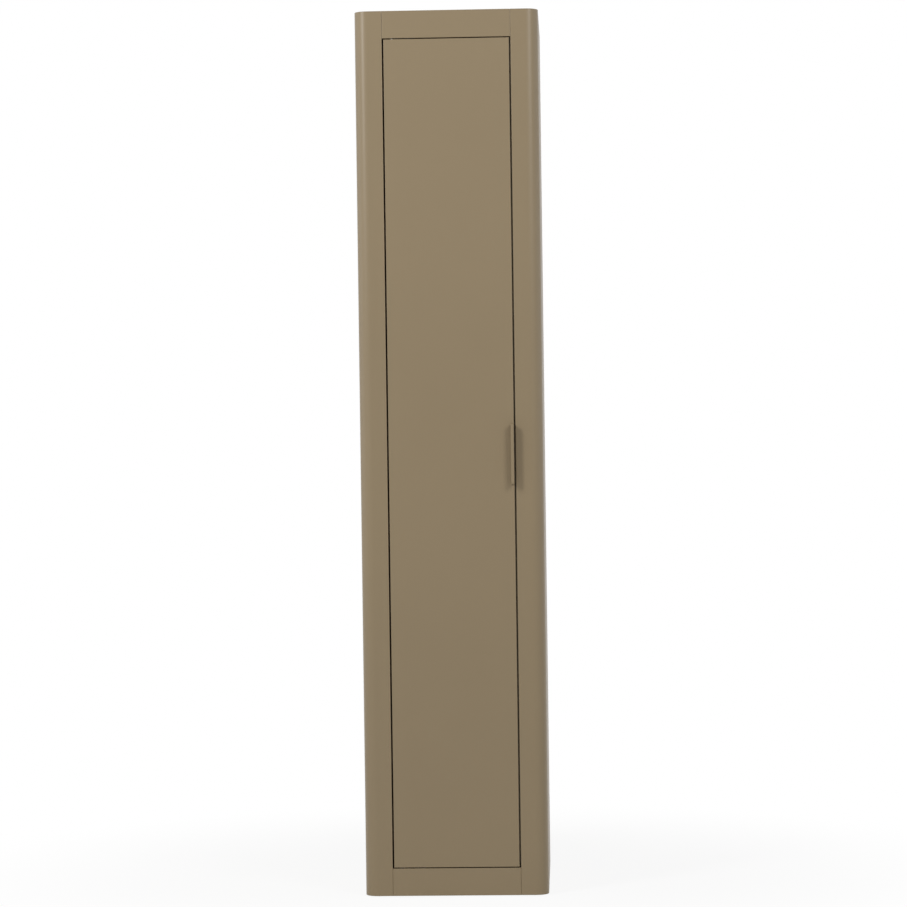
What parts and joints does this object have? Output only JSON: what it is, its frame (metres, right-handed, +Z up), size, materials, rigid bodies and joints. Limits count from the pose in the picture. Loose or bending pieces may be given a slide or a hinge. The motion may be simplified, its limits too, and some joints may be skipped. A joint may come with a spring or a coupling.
{
  "type": "tall cabinet",
  "caption": "Tall narrow freestanding cupboard with a flush inset door, rounded front posts, a slim edge pull and shelves inside.",
  "frame": {"origin": "on the floor at the middle of the overall box, the pull included", "axes": "+Z up, +X to the right seen from the front, the front faces -Y"},
  "size_m": [0.446, 0.552, 2.15],
  "materials": {
    "lacquer": "satin",
    "backboard": "matte",
    "beech": "matte",
    "steel": "satin",
    "screws": "satin",
    "zinc": "matte",
    "bronze": "satin",
    "nylon": "matte",
    "magnet": "satin",
    "silicone": "satin"
  },
  "bodies": {
    "carcass": {"left_post": "lacquer", "right_post": "lacquer", "top_rail": "lacquer", "bottom_rail": "lacquer", "left_side_board": "lacquer", "right_side_board": "lacquer", "top_board": "lacquer", "floor_board": "lacquer", "rear_top_rail": "lacquer", "rear_bottom_rail": "lacquer", "fixed_shelf": "lacquer", "loose_shelf_1": "lacquer", "loose_shelf_2": "lacquer", "loose_shelf_4": "lacquer", "loose_shelf_5": "lacquer", "stop_strip": "lacquer", "back_panel": "backboard", "frame_dowels": "beech", "post_dowels": "beech", "board_dowels": "beech", "rear_dowels": "beech", "bottom_rail_leaf": "steel", "top_rail_leaf": "steel", "bottom_pivot_pin": "steel", "top_pivot_pin": "steel", "shelf_pins": "steel", "rail_leaf_screws": "screws", "stop_screws": "screws", "back_screws": "screws", "rear_rail_screws": "screws", "cam_locks": "zinc", "cam_bolts": "zinc", "pivot_washer": "nylon", "floor_glides": "nylon", "catch_magnets": "magnet", "door_bumpers": "silicone"},
    "door": {"door_slab": "lacquer", "edge_pull": "lacquer", "pull_screws": "screws", "bottom_door_leaf": "steel", "top_door_leaf": "steel", "door_leaf_screws": "screws", "pivot_bushes": "bronze", "strike_plates": "steel", "strike_screws": "screws"}
  },
  "joints": [
    {"name": "door_swing", "type": "hinge", "parent": "carcass", "child": "door", "pos_m": [-0.13225, -0.244, 0.071], "axis": [0, 0, -1], "range_deg": [0, 120]}
  ]
}
